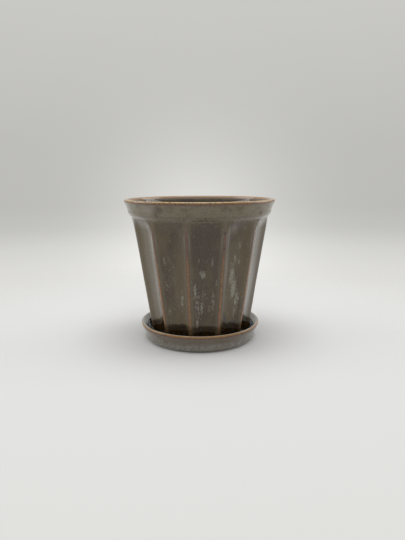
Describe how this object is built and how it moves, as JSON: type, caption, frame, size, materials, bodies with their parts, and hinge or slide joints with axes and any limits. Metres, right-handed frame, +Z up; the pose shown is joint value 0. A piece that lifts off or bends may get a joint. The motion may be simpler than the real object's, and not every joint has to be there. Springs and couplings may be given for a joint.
{
  "type": "ceramic planter",
  "caption": "Fluted, tapering glazed ceramic plant pot with a plain collar, standing loose in a shallow round saucer with a sloping brim.",
  "frame": {"origin": "middle of the saucer's base, on the surface that the planter stands on", "axes": "+Z up along the pot's axis; the middle of one flute faces -Y, so X and Y are alike every 30 degrees"},
  "size_m": [0.1428, 0.1428, 0.1355],
  "materials": {
    "pot_glaze": "glossy grey-brown reactive glaze, breaking to ochre on the lip and ridges",
    "saucer_glaze": "glossy grey-brown reactive glaze, breaking to ochre on the lip"
  },
  "bodies": {
    "saucer": {"saucer": "saucer_glaze"},
    "pot": {"pot": "pot_glaze"}
  },
  "joints": [
    {"name": "pot_lift", "type": "slide", "parent": "saucer", "child": "pot", "axis": [0, 0, 1], "range_m": [0, 0.06]}
  ]
}
